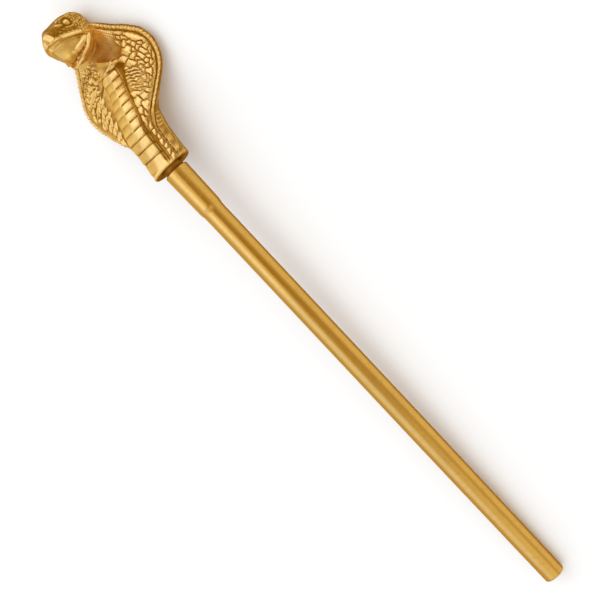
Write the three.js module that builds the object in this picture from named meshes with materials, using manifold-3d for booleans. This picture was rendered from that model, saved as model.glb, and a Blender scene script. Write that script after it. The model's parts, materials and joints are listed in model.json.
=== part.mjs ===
// A costume sceptre: a straight round shaft with a moulded cobra head on its upper end.
// Millimetres, +Z up. The cobra is first shaped upright: x is its belly side, y its left side,
// z runs up the shaft's axis from the collar's mouth. The finished sceptre then lies on its back.
import * as THREE from "three";
import { mergeVertices } from "three/addons/utils/BufferGeometryUtils.js";
import Module from "manifold-3d";

const wasm = await Module();
wasm.setup();

// Shaft
const shaftLength = 620; // from the collar's mouth to the closed tip
const shaftRadius = 13;
const upperRadius = 15;
const upperNarrowing = 0.8; // over the thick upper length
const upperEnd = 58; // the thick upper length ends here, below the mouth
const shoulderLength = 11;
const taperStart = 400;
const tipRadius = 12.4;
const tipRounding = 1.5;
const spigotRadius = 12; // the narrower end that goes into the collar
const spigotStep = 5.5; // the step to the spigot, below the mouth
const spigotDepth = 34;
const stepBevel = 0.7;
const shaftSides = 40;

// Collar
const fit = 0.35; // clearance round the spigot
const lipRadius = 21.6; // the shallow dish in the collar's mouth narrows from here
const mouthRadius = 19.8; // to here
const mouthDepth = 1.6;
const mouthFloor = 1.7;

// Belly band
const bandShare = 0.72; // the most of the body's half width that it takes
const grooveWidth = 2.6;
const grooveDepth = 1.3;
const scuteRise = 1.5;
const scuteCount = 11;
const scuteFirst = 3; // the lowest scute's lower edge
const scuteLast = 129; // the top scute's upper edge
const scutePacking = 1.18; // over 1 makes the scutes shorter towards the head
const scuteLip = 0.12; // the share of a scute's length that its free edge takes

// Neck, hood and throat, by height
const bodyTop = 190;
const hoodStart = 38; // the round neck turns into the flat hood over this stretch
const hoodFull = 80;
const throatStart = 122; // the belly band gives way to the smooth throat over this stretch
const throatFull = 142;
const wingBulge = 2.5;
const rimHalf = 2.8; // half the hood's thickness at its rim
const rimRoundness = 16; // the power of the rim's rounding: a high one keeps it close to the edge
const beadHeight = 1.5; // the raised line inside the rim
const beadInset = 5;
const beadFade = [165, 182]; // it fades out over these heights, beside the head

// Rest: the sceptre lies on its tip and on the cobra's nape, belly up.
const napeX = -50.5;
const napeLow = 180;
const restPitch = Math.atan2(-napeX - tipRadius, shaftLength - tipRounding + napeLow);
const floorCut = 0.4; // depth of the small flats that it rests on

const radians = THREE.MathUtils.degToRad;
const mix = THREE.MathUtils.lerp;
const smooth = THREE.MathUtils.smoothstep;

// A smooth curve through [position, value] points that never overshoots them.
function profile(points) {
  const last = points.length - 1;
  const slope = (i) => (points[i + 1][1] - points[i][1]) / (points[i + 1][0] - points[i][0]);
  const tangents = points.map((_, i) => {
    if (i === 0) return slope(0);
    if (i === last) return slope(last - 1);
    const before = slope(i - 1);
    const after = slope(i);
    return before * after <= 0 ? 0 : (2 * before * after) / (before + after);
  });
  return (at) => {
    const x = THREE.MathUtils.clamp(at, points[0][0], points[last][0]);
    let i = 0;
    while (i < last - 1 && x > points[i + 1][0]) i++;
    const h = points[i + 1][0] - points[i][0];
    const t = (x - points[i][0]) / h;
    const [a, b] = [points[i][1], points[i + 1][1]];
    const [ma, mb] = [tangents[i] * h, tangents[i + 1] * h];
    return a + t * (ma + t * (3 * (b - a) - 2 * ma - mb + t * (2 * (a - b) + ma + mb)));
  };
}

// The body's outline by height: half width, rim position, belly and back.
const halfWidth = profile([
  [0, 24.4], [14, 23.5], [36, 24], [52, 30], [66, 43], [84, 62.5], [100, 73],
  [115, 76.4], [130, 73], [145, 62], [163, 44.5], [181, 28], [190, 14],
]);
const rimX = profile([
  [0, 0], [20, -3.2], [40, -6.4], [57, -8.4], [74, -20.5], [92, -32.6], [115, -36.2],
  [160, -37.4], [190, -36],
]);
const bellyX = profile([
  [0, 24.4], [14, 21.3], [27, 19.2], [40, 17.4], [68, 7], [89, -3], [116, -18.5],
  [130, -22.5], [138, -26.5], [150, -31], [190, -33],
]);
const backX = profile([
  [0, -24.4], [14, -25.6], [27, -28], [60, -33], [100, -42], [130, -46.5], [160, -48], [190, -42],
]);
const bandBulge = profile([[0, 7.4], [40, 7], [95, 5.5], [190, 4]]);
const bandHalf = profile([[0, 17], [75, 17], [112, 15.4], [190, 15]]); // half its width

const hoodness = (z) => smooth(z, hoodStart, hoodFull);
const bandEdge = (z) => Math.min(bandHalf(z), halfWidth(z) * bandShare);
const rimRound = (across) => Math.sqrt(1 - across ** rimRoundness);

// How far a scute stands out at a height: each one thickens down to its free lower edge.
function scuteHeight(z) {
  if (z < scuteFirst || z > scuteLast) return 0;
  const along = ((z - scuteFirst) / (scuteLast - scuteFirst)) ** scutePacking * scuteCount;
  const within = along - Math.floor(along);
  return scuteRise * Math.min(within / scuteLip, (1 - within) / (1 - scuteLip));
}

// The belly side's x at a point across the body.
function bellyAt(y, z) {
  const across = Math.min(Math.abs(y) / halfWidth(z), 1);
  const centre = rimX(z);
  const round = centre + (bellyX(z) - centre) * Math.sqrt(1 - across ** 2);
  const edge = bandEdge(z);
  const out = (Math.abs(y) - edge) / (halfWidth(z) - edge);
  const rimFront = centre + rimHalf * rimRound(across);
  const banded = out <= 0
    ? bellyX(z) - bandBulge(z) * (y / edge) ** 2
    : mix(bellyX(z) - bandBulge(z), rimFront, out) + wingBulge * Math.sin(Math.PI * out);
  const throat = mix(rimFront, bellyX(z), Math.cos((Math.PI / 2) * across) ** 2);
  const flat = mix(banded, throat, smooth(z, throatStart, throatFull));
  return mix(round, flat, hoodness(z));
}

// The back's x at a point across the body.
function backAt(y, z) {
  const across = Math.min(Math.abs(y) / halfWidth(z), 1);
  const centre = rimX(z);
  const round = centre + (backX(z) - centre) * Math.sqrt(1 - across ** 2);
  const flat = mix(backX(z), centre - rimHalf * rimRound(across), across ** 1.3);
  return mix(round, flat, hoodness(z));
}

// One closed section of the body, from the middle of the belly round to the left, back and right.
function bodySection(z) {
  const width = halfWidth(z);
  const edge = bandEdge(z);
  const reach = Math.min(1, (width - edge) / 30); // shrinks the rim's details on the narrow neck
  const left = [];
  const belly = (y, rise) => left.push([bellyAt(y, z) + rise, y]);

  const bandSteps = 4;
  for (let i = 1; i <= bandSteps; i++) belly((edge * i) / bandSteps, scuteHeight(z));
  belly(edge + grooveWidth * 0.46, -grooveDepth * (1 - smooth(z, scuteLast - 3, scuteLast + 5)));
  belly(edge + grooveWidth, 0);

  const wingSteps = 5;
  const wingEnd = width - (beadInset + 3.5) * reach;
  for (let i = 1; i <= wingSteps; i++) {
    belly(mix(edge + grooveWidth, wingEnd, Math.sin((Math.PI / 2) * (i / wingSteps))), 0);
  }
  const bead = beadHeight * hoodness(z) * (1 - smooth(z, ...beadFade));
  belly(width - (beadInset + 1.2) * reach, bead * 0.8);
  belly(width - (beadInset - 0.6) * reach, bead);
  belly(width - (beadInset - 2.6) * reach, 0);
  belly(width - 0.7 * reach, 0);
  left.push([rimX(z), width]);

  const backSteps = 6;
  for (let i = 0; i < backSteps; i++) {
    const y = width * Math.cos((Math.PI / 2) * ((i + 0.45) / (backSteps + 0.45)));
    left.push([backAt(y, z), y]);
  }
  const right = left.map(([x, y]) => [x, -y]).reverse();
  return [[bellyAt(0, z) + scuteHeight(z), 0], ...left, [backX(z), 0], ...right].map(
    ([x, y]) => new THREE.Vector3(x, y, z),
  );
}

// A closed mesh through rings of equal point counts, capped by a fan at each end.
// The rings run anticlockwise as seen from the last ring's side.
function loft(rings) {
  const count = rings[0].length;
  const positions = rings.flat().flatMap((p) => [p.x, p.y, p.z]);
  const index = [];
  for (let k = 0; k < rings.length - 1; k++) {
    for (let i = 0; i < count; i++) {
      const j = (i + 1) % count;
      const [a, b, c, d] = [k * count + i, k * count + j, (k + 1) * count + j, (k + 1) * count + i];
      index.push(a, b, c, a, c, d);
    }
  }
  for (const [ring, flip] of [[0, true], [rings.length - 1, false]]) {
    const centre = rings[ring].reduce((sum, p) => sum.add(p), new THREE.Vector3());
    centre.divideScalar(count);
    const hub = positions.length / 3;
    positions.push(centre.x, centre.y, centre.z);
    for (let i = 0; i < count; i++) {
      const [a, b] = [ring * count + i, ring * count + ((i + 1) % count)];
      index.push(...(flip ? [hub, b, a] : [hub, a, b]));
    }
  }
  const geometry = new THREE.BufferGeometry();
  geometry.setAttribute("position", new THREE.Float32BufferAttribute(positions, 3));
  geometry.setIndex(index);
  return geometry;
}

// Heights of the body's sections: at each scute's free edge, behind it and halfway up, then evenly.
function bodyHeights() {
  const heights = [0, 1.2];
  const scuteEdge = (i) =>
    scuteFirst + (scuteLast - scuteFirst) * (i / scuteCount) ** (1 / scutePacking);
  for (let i = 0; i < scuteCount; i++) {
    const [low, high] = [scuteEdge(i), scuteEdge(i + 1)];
    heights.push(low, mix(low, high, scuteLip), mix(low, high, 0.5));
  }
  const steps = 12;
  for (let i = 0; i <= steps; i++) heights.push(mix(scuteLast, bodyTop, i / steps));
  return heights;
}

const bodyGeometry = () => loft(bodyHeights().map(bodySection));

// Skull, by distance forward of the shaft's axis: half width, crown, jaw and widest height.
const snoutX = 18.5;
const skullHalf = profile([
  [napeX, 6], [-46, 15.5], [-38, 21], [-26, 24.6], [-10, 23.2], [4, 16], [12.5, 9], [snoutX, 2.4],
]);
const crownZ = profile([
  [napeX, 195], [-46, 205], [-37, 209], [-22, 209.6], [4, 207], [12, 200], [snoutX, 190.5],
]);
const jawZ = profile([
  [napeX, napeLow], [-46, 172], [-36, 163], [-22, 157], [-8, 156.6], [1, 160], [9, 168.4],
  [14.4, 178.5], [snoutX, 186.5],
]);
const widestZ = profile([[napeX, 187], [-20, 184], [0, 187.5], [snoutX, 188.4]]);

// Roundness of the sections: 2 is an ellipse, more is squarer. The temples are square, the chin narrow.
const crownPower = (x) => mix(1.4, 4.6, smooth(-x, -6, 18) * smooth(x, -50, -40));
const jawPower = (x) => mix(1.35, 2.2, smooth(-x, 4, 15));
const skullSides = 36;
const skullStations = 18;

function skullSection(x) {
  const ring = [];
  for (let i = 0; i < skullSides; i++) {
    const angle = (2 * Math.PI * i) / skullSides;
    const [c, s] = [Math.cos(angle), Math.sin(angle)];
    const power = 2 / (s > 0 ? crownPower(x) : jawPower(x));
    const rise = s > 0 ? crownZ(x) - widestZ(x) : widestZ(x) - jawZ(x);
    const y = skullHalf(x) * Math.sign(c) * Math.abs(c) ** power;
    const z = widestZ(x) + rise * Math.sign(s) * Math.abs(s) ** power;
    ring.push(new THREE.Vector3(x, y, z));
  }
  return ring;
}

function skullGeometry() {
  const middle = (napeX + snoutX) / 2;
  const half = (snoutX - napeX) / 2;
  const rings = [];
  for (let i = 0; i <= skullStations; i++) {
    rings.push(skullSection(middle - half * Math.cos((Math.PI * i) / skullStations)));
  }
  return loft(rings);
}

// Brow ridge and eye on one side (1 is the cobra's left).
const brow = { length: 28, width: 6.8, height: 6, turn: 13, dip: 4, place: [-14, 19, 202.8] };
const eye = { radius: 4.4, place: [-12, 20.2, 196.6] };

function browGeometry(side) {
  const [x, y, z] = brow.place;
  return new THREE.SphereGeometry(0.5, 14, 8)
    .scale(brow.length, brow.width, brow.height)
    .rotateZ(radians(-brow.turn * side))
    .rotateY(radians(brow.dip))
    .translate(x, y * side, z);
}

function eyeGeometry(side) {
  const [x, y, z] = eye.place;
  return new THREE.SphereGeometry(eye.radius, 14, 9).translate(x, y * side, z);
}

// The groove of the closed mouth: a thin tilted plate along the skull's plan outline.
const mouth = { height: 1.5, depth: 1.3, rise: 15, cornerX: -24, cornerZ: 175 };

function mouthGeometry() {
  const { height, depth, rise, cornerX, cornerZ } = mouth;
  const outline = (inset) => {
    const steps = 16;
    const left = [];
    for (let i = 0; i <= steps; i++) {
      const along = Math.sin((Math.PI / 2) * (i / steps));
      const x = mix(cornerX, snoutX, along);
      left.push(new THREE.Vector2(x - inset * along, skullHalf(x) - inset));
    }
    return [...left, ...left.map((p) => new THREE.Vector2(p.x, -p.y)).reverse()];
  };
  const clear = -4; // the plate's outer edge stands clear of the skull
  const shape = new THREE.Shape([...outline(clear), ...outline(depth).reverse()]);
  return new THREE.ExtrudeGeometry(shape, { depth: height, bevelEnabled: false })
    .translate(-cornerX, 0, -height / 2)
    .rotateY(-radians(rise))
    .translate(cornerX, 0, cornerZ);
}

// A round fold of skin from side to side, through points given for the cobra's left half.
function foldGeometry(radius, leftHalf) {
  const left = leftHalf.map(([x, y, z]) => new THREE.Vector3(x, y, z));
  const right = left.slice(1).map((p) => new THREE.Vector3(p.x, -p.y, p.z));
  const path = new THREE.CatmullRomCurve3([...right.reverse(), ...left]);
  const section = new THREE.Shape();
  section.absarc(0, 0, radius, 0, 2 * Math.PI);
  return new THREE.ExtrudeGeometry(section, { steps: 20, extrudePath: path, curveSegments: 5 });
}

// The edge of the lower jaw, and the fold where the throat meets the top of the belly band.
const jawRidgeGeometry = () =>
  foldGeometry(2, [[-4.5, 0, 156.4], [-6.5, 9, 156.8], [-13, 17.4, 161], [-18.5, 22, 166.8], [-23.4, 24, 173]]);
const throatFoldGeometry = () =>
  foldGeometry(3.2, [[-22.6, 0, 130], [-24.8, 9, 131], [-31, 19, 136]]);

// The hole for the spigot, its mouth widened by a cone.
function socketGeometry() {
  const bore = spigotRadius + fit;
  const deep = spigotDepth + fit;
  const points = [
    [0, -2], [lipRadius, -2], [lipRadius, 0], [mouthRadius, mouthDepth], [bore, mouthFloor],
    [bore, deep], [0, deep],
  ];
  return latheAlongZ(points, shaftSides);
}

// A body turned about the z axis from [radius, height] points.
function latheAlongZ(points, sides) {
  const outline = points.map(([radius, height]) => new THREE.Vector2(radius, height));
  return new THREE.LatheGeometry(outline, sides).rotateX(Math.PI / 2);
}

function shaftGeometry() {
  const points = [[0, -shaftLength]];
  for (let i = 0; i <= 3; i++) {
    const angle = (Math.PI / 2) * (i / 3);
    points.push([
      tipRadius - tipRounding * (1 - Math.sin(angle)),
      -shaftLength + tipRounding * (1 - Math.cos(angle)),
    ]);
  }
  points.push([shaftRadius, -taperStart]);
  const shoulderSteps = 5;
  for (let i = 0; i <= shoulderSteps; i++) {
    const t = i / shoulderSteps;
    points.push([
      mix(shaftRadius, upperRadius - upperNarrowing, smooth(t, 0, 1)),
      -upperEnd - shoulderLength * (1 - t),
    ]);
  }
  points.push([upperRadius, -spigotStep - stepBevel], [upperRadius - stepBevel, -spigotStep]);
  points.push([spigotRadius, -spigotStep], [spigotRadius, spigotDepth], [0, spigotDepth]);
  return latheAlongZ(points, shaftSides);
}

// Booleans on closed meshes.
function solid(geometry) {
  const bare = geometry.clone();
  bare.deleteAttribute("normal");
  bare.deleteAttribute("uv");
  const merged = mergeVertices(bare, 1e-3);
  return new wasm.Manifold(
    new wasm.Mesh({
      numProp: 3,
      vertProperties: merged.attributes.position.array,
      triVerts: new Uint32Array(merged.index.array),
    }),
  );
}

function geometryOf(body) {
  const mesh = body.getMesh();
  const geometry = new THREE.BufferGeometry();
  geometry.setAttribute("position", new THREE.Float32BufferAttribute(mesh.vertProperties, 3));
  geometry.setIndex(Array.from(mesh.triVerts));
  return geometry;
}

// From the upright cobra's axes to the sceptre at rest: head towards +X, belly up, and pitched
// until the tip and the nape both touch the floor.
const lying = new THREE.Matrix4()
  .makeRotationY(-restPitch)
  .multiply(
    new THREE.Matrix4().makeBasis(
      new THREE.Vector3(0, 0, 1),
      new THREE.Vector3(0, -1, 0),
      new THREE.Vector3(1, 0, 0),
    ),
  );

function headSolid() {
  const added = [
    skullGeometry(), jawRidgeGeometry(), throatFoldGeometry(),
    ...[-1, 1].flatMap((side) => [browGeometry(side), eyeGeometry(side)]),
  ];
  const whole = added.reduce((sum, geometry) => sum.add(solid(geometry)), solid(bodyGeometry()));
  return whole.subtract(solid(mouthGeometry())).subtract(solid(socketGeometry()));
}

const pieces = [
  { name: "cobra_head", body: headSolid(), color: 0xd4a24a, roughness: 0.3, metalness: 0.85 },
  { name: "shaft", body: solid(shaftGeometry()), color: 0xd8a855, roughness: 0.28, metalness: 0.85 },
];
const laid = pieces.map(({ body }) => geometryOf(body).applyMatrix4(lying));

// The origin goes under the middle of the whole, on the floor, and the floor cuts the flats.
const box = new THREE.Box3();
for (const { attributes } of laid) {
  box.union(new THREE.Box3().setFromBufferAttribute(attributes.position));
}
const middle = box.getCenter(new THREE.Vector3());
const floor = solid(new THREE.BoxGeometry(1000, 1000, 100).translate(0, 0, -50));

const group = new THREE.Group();
pieces.forEach(({ name, color, roughness, metalness }, i) => {
  const placed = laid[i].translate(-middle.x, -middle.y, -box.min.z - floorCut);
  const material = new THREE.MeshStandardMaterial({ color, roughness, metalness });
  const mesh = new THREE.Mesh(geometryOf(solid(placed).subtract(floor)), material);
  mesh.name = name;
  group.add(mesh);
});

export default group;
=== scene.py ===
import json
import math

import bmesh
import bpy
import numpy as np
from mathutils import Matrix, Vector


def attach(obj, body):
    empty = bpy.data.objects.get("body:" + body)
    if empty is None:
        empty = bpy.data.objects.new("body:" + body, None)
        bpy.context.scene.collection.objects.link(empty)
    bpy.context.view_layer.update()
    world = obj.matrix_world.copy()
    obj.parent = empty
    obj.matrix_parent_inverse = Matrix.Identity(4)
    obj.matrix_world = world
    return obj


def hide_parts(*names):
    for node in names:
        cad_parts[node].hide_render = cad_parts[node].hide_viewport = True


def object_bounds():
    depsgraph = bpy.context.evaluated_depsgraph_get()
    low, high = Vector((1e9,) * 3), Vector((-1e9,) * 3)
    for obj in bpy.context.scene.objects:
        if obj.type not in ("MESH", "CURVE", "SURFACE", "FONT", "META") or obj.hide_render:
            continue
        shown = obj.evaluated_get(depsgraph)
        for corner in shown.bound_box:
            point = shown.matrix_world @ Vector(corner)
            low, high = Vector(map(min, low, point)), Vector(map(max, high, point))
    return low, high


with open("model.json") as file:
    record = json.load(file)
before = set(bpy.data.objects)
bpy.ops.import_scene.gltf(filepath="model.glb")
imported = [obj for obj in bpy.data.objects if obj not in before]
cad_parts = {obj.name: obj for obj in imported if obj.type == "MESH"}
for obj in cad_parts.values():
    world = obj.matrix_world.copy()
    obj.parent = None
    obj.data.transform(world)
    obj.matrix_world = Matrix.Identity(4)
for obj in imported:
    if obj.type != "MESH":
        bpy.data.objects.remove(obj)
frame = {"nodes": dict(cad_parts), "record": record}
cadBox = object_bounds()
mm = 0.001

# The sceptre's own axes, from the middle of the collar's mouth: belly side, the cobra's left, and along
# the shaft towards the head.
shaftLength = 620
tipMount = next(m for m in frame["record"]["mounts"] if m["name"] == "tip_end")
along = -Vector(tipMount["axis"]).normalized()
left = Vector((0, -1, 0))
belly = left.cross(along)
mouthCentre = Vector(tipMount["pos_m"]) + along * shaftLength * mm
toFrame = Matrix((belly, left, along)).transposed().to_4x4()
toFrame.translation = mouthCentre
axesOf = np.array(toFrame.to_3x3())
centreOf = np.array(mouthCentre)


def placed(points):  # the cobra's millimetres to the frame's metres
    return points @ axesOf.T * mm + centreOf


def unplaced(points):  # and back
    return (points - centreOf) @ axesOf / mm


def mix(a, b, t):
    return a + (b - a) * t


def smooth(value, low, high):
    t = np.clip((value - low) / (high - low), 0, 1)
    return t * t * (3 - 2 * t)


def hill(value, middle, half):  # a soft rise of 1 at the middle
    return np.exp(-((value - middle) / half) ** 2)


def profile(points):  # a smooth line through the points, with no overshoot
    xs, ys = (np.array(v, float) for v in zip(*points))
    slopes = np.diff(ys) / np.diff(xs)
    tangents = np.empty_like(xs)
    tangents[0], tangents[-1] = slopes[0], slopes[-1]
    before, after = slopes[:-1], slopes[1:]
    same = before * after > 0
    tangents[1:-1] = np.where(same, 2 * before * after / np.where(same, before + after, 1), 0)

    def curve(at):
        x = np.clip(np.asarray(at, float), xs[0], xs[-1])
        i = np.clip(np.searchsorted(xs, x, side="right") - 1, 0, len(xs) - 2)
        h = xs[i + 1] - xs[i]
        t = (x - xs[i]) / h
        a, b, ma, mb = ys[i], ys[i + 1], tangents[i] * h, tangents[i + 1] * h
        return a + t * (ma + t * (3 * (b - a) - 2 * ma - mb + t * (2 * (a - b) + ma + mb)))

    return curve


def onlySelect(*objs):
    bpy.ops.object.select_all(action="DESELECT")
    for obj in objs:
        obj.select_set(True)
    bpy.context.view_layer.objects.active = objs[0]


def applyModifier(obj, kind, **values):
    onlySelect(obj)
    modifier = obj.modifiers.new(kind.title(), kind)
    for key, value in values.items():
        setattr(modifier, key, value)
    bpy.ops.object.modifier_apply(modifier=modifier.name)


def keepInBox(mesh):  # no point goes past the CAD model's box
    co = np.empty(len(mesh.vertices) * 3, np.float32)
    mesh.vertices.foreach_get("co", co)
    co = np.clip(co.reshape(-1, 3), *np.array(cadBox, np.float32))
    mesh.vertices.foreach_set("co", co.ravel())
    return co


# The hood and neck, in millimetres, by height over the collar's mouth.
hood = {
    "top": 190, "hoodStart": 38, "hoodFull": 80, "throatStart": 122, "throatFull": 142,
    "bandShare": 0.72, "wingBulge": 2.5, "rimHalf": 2.8, "rimRoundness": 16, "backRoundness": 1.3,
    "lipRadius": 21.6, "lipRounding": 0.4, "lipStart": 0.25, "mouthRadius": 19.8, "mouthDepth": 1.6,
    "floorDepth": 1.7, "boreRadius": 12.35, "boreDepth": 34.35, "boreMiddle": 0.6, "collarEdge": 23.9,
    "ringStep": 1.0, "ringPoints": 240,
}
scutes = {
    "count": 11, "first": 3, "last": 129, "packing": 1.18, "sag": 0.6, "tilt": 0.12, "rise": 1.6,
    "lineDepth": 1.1, "fadedLine": 0.2, "pillowLine": 2.0, "pillowRise": 0.5,
}
# Lines of half width, rim, belly and back, and the belly band's bulge and half width.
halfWidth = profile([(0, 24.4), (14, 23.5), (36, 24), (52, 30), (66, 43), (84, 62.5), (100, 73),
                     (115, 76.4), (130, 73), (145, 62), (163, 44.5), (181, 28), (190, 14)])
rimX = profile([(0, 0), (20, -3.2), (40, -6.4), (57, -8.4), (74, -20.5), (92, -32.6), (115, -36.2),
                (160, -37.4), (190, -36)])
bellyX = profile([(0, 24.4), (14, 21.3), (27, 19.2), (40, 17.4), (68, 7), (89, -3), (116, -18.5),
                  (130, -22.5), (138, -26.5), (150, -31), (190, -33)])
backX = profile([(0, -24.4), (14, -25.6), (27, -28), (60, -33), (100, -42), (130, -46.5),
                 (160, -48), (190, -42)])
bandBulge = profile([(0, 7.4), (40, 7), (95, 5.5), (190, 4)])
bandHalf = profile([(0, 17), (75, 17), (112, 15.4), (190, 15)])
heightStep = 0.5
heights = np.arange(0, hood["top"] + heightStep, heightStep)
widthSlope = np.gradient(halfWidth(heights), heights)
rimRun = np.concatenate([[0], np.cumsum(np.hypot(np.diff(halfWidth(heights)), heightStep))])


def bandEdge(z):
    return np.minimum(bandHalf(z), halfWidth(z) * hood["bandShare"])


def hoodness(z):
    return smooth(z, hood["hoodStart"], hood["hoodFull"])


def bellyAt(y, z):
    across = np.minimum(np.abs(y) / halfWidth(z), 1)
    centre = rimX(z)
    roundNeck = centre + (bellyX(z) - centre) * np.sqrt(1 - across ** 2)
    edge = bandEdge(z)
    out = (np.abs(y) - edge) / (halfWidth(z) - edge)
    rimFront = centre + hood["rimHalf"] * np.sqrt(1 - across ** hood["rimRoundness"])
    band = bellyX(z) - bandBulge(z) * (y / edge) ** 2
    wing = mix(bellyX(z) - bandBulge(z), rimFront, out) + hood["wingBulge"] * np.sin(np.pi * out)
    throat = mix(rimFront, bellyX(z), np.cos(np.pi / 2 * across) ** 2)
    flat = mix(np.where(out <= 0, band, wing), throat, smooth(z, hood["throatStart"], hood["throatFull"]))
    return mix(roundNeck, flat, hoodness(z))


def backAt(y, z):
    across = np.minimum(np.abs(y) / halfWidth(z), 1)
    centre = rimX(z)
    roundNeck = centre + (backX(z) - centre) * np.sqrt(1 - across ** 2)
    rimBack = centre - hood["rimHalf"] * np.sqrt(1 - across ** hood["rimRoundness"])
    return mix(roundNeck, mix(backX(z), rimBack, across ** hood["backRoundness"]), hoodness(z))


def bodyRings():  # up inside the bore, out over the collar's mouth and up the outside
    turn = np.linspace(0, 2 * np.pi, hood["ringPoints"], endpoint=False)
    circle = np.stack([np.cos(turn), np.sin(turn)], 1)

    def ring(radius, z):
        return np.column_stack([circle * radius, np.full(len(turn), z)])

    rings = [ring(hood["boreMiddle"], hood["boreDepth"]), ring(hood["boreRadius"], hood["boreDepth"]),
             ring(hood["boreRadius"], hood["floorDepth"]), ring(hood["mouthRadius"], hood["mouthDepth"]),
             ring(hood["lipRadius"], hood["lipStart"]), ring(hood["lipRadius"] + hood["lipRounding"], 0),
             ring(hood["collarEdge"], 0)]
    step = hood["ringStep"]
    for z in np.append(np.arange(step / 2, hood["top"] - step / 2, step), hood["top"]):
        y = halfWidth(z) * np.sin(turn)
        x = np.where(np.cos(turn) > 0, bellyAt(y, z), backAt(y, z))
        rings.append(np.column_stack([x, y, np.full(len(turn), z)]))
    return rings


# The skull: half width, crown, jaw and widest line, by distance forward of the shaft's axis.
skull = {"nape": -50.5, "snout": 18.5, "snoutPower": 1.4, "templePower": 4.6, "chinPower": 1.35,
         "jawPower": 2.2, "ringPoints": 160, "rings": 90}
skullHalf = profile([(-50.5, 6), (-46, 15.5), (-38, 21), (-26, 24.6), (-10, 23.2), (4, 16),
                     (12.5, 9), (18.5, 2.4)])
crownZ = profile([(-50.5, 195), (-46, 205), (-37, 209), (-22, 209.6), (4, 207), (12, 200), (18.5, 190.5)])
jawZ = profile([(-50.5, 180), (-46, 172), (-36, 163), (-22, 157), (-8, 156.6), (1, 160), (9, 168.4),
                (14.4, 178.5), (18.5, 186.5)])
widestZ = profile([(-50.5, 187), (-20, 184), (0, 187.5), (18.5, 188.4)])


def crownPower(x):  # squarer over the temples
    return mix(skull["snoutPower"], skull["templePower"], smooth(x, 6, -18) * smooth(x, -50, -40))


def jawPower(x):  # a narrow chin, and rounder cheeks
    return mix(skull["chinPower"], skull["jawPower"], smooth(x, -4, -15))


def skullRings():
    turn = np.linspace(0, 2 * np.pi, skull["ringPoints"], endpoint=False)
    c, s = np.cos(turn), np.sin(turn)
    middle, half = (skull["nape"] + skull["snout"]) / 2, (skull["snout"] - skull["nape"]) / 2
    rings = []
    for station in np.linspace(0, np.pi, skull["rings"]):
        x = middle - half * math.cos(station)
        power = 2 / np.where(s > 0, crownPower(x), jawPower(x))
        rise = np.where(s > 0, crownZ(x) - widestZ(x), widestZ(x) - jawZ(x))
        y = skullHalf(x) * np.sign(c) * np.abs(c) ** power
        z = widestZ(x) + rise * np.sign(s) * np.abs(s) ** power
        rings.append(np.column_stack([np.full(len(turn), x), y, z]))
    return rings


def loft(name, rings):
    bm = bmesh.new()
    rows = [[bm.verts.new(p) for p in placed(ring)] for ring in rings]
    for lower, upper in zip(rows, rows[1:]):
        for i in range(len(lower)):
            j = (i + 1) % len(lower)
            bm.faces.new((lower[i], lower[j], upper[j], upper[i]))
    bm.faces.new(rows[0][::-1])
    bm.faces.new(rows[-1])
    bmesh.ops.recalc_face_normals(bm, faces=bm.faces)
    mesh = bpy.data.meshes.new(name)
    bm.to_mesh(mesh)
    bm.free()
    obj = bpy.data.objects.new(name, mesh)
    bpy.context.scene.collection.objects.link(obj)
    return obj


def tube(name, points, radius):  # a rounded cord through points, mirrored on the cobra's other side
    line = [(x, -y, z) for x, y, z in points[:0:-1]] + points
    curve = bpy.data.curves.new(name, "CURVE")
    curve.dimensions = "3D"
    curve.bevel_depth = radius * mm
    curve.bevel_resolution = 5
    curve.use_fill_caps = True
    spline = curve.splines.new("NURBS")
    spline.points.add(len(line) - 1)
    for point, at in zip(spline.points, placed(np.array(line, float))):
        point.co = (*at, 1)
    spline.order_u = 4
    spline.use_endpoint_u = True
    obj = bpy.data.objects.new(name, curve)
    bpy.context.scene.collection.objects.link(obj)
    onlySelect(obj)
    bpy.ops.object.convert(target="MESH")
    return obj


def ball(name, centre, size, turn=0, dip=0):
    bpy.ops.object.select_all(action="DESELECT")
    bpy.ops.mesh.primitive_uv_sphere_add(segments=32, ring_count=20, radius=mm)
    obj = bpy.context.object
    obj.name = name
    spin = Matrix.Rotation(math.radians(turn), 4, "Z") @ Matrix.Rotation(math.radians(dip), 4, "Y")
    local = Matrix.Translation(Vector(centre) * mm) @ spin @ Matrix.Diagonal((*size, 1))
    obj.matrix_world = toFrame @ local
    bpy.ops.object.transform_apply(location=True, rotation=True, scale=True)
    return obj


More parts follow.
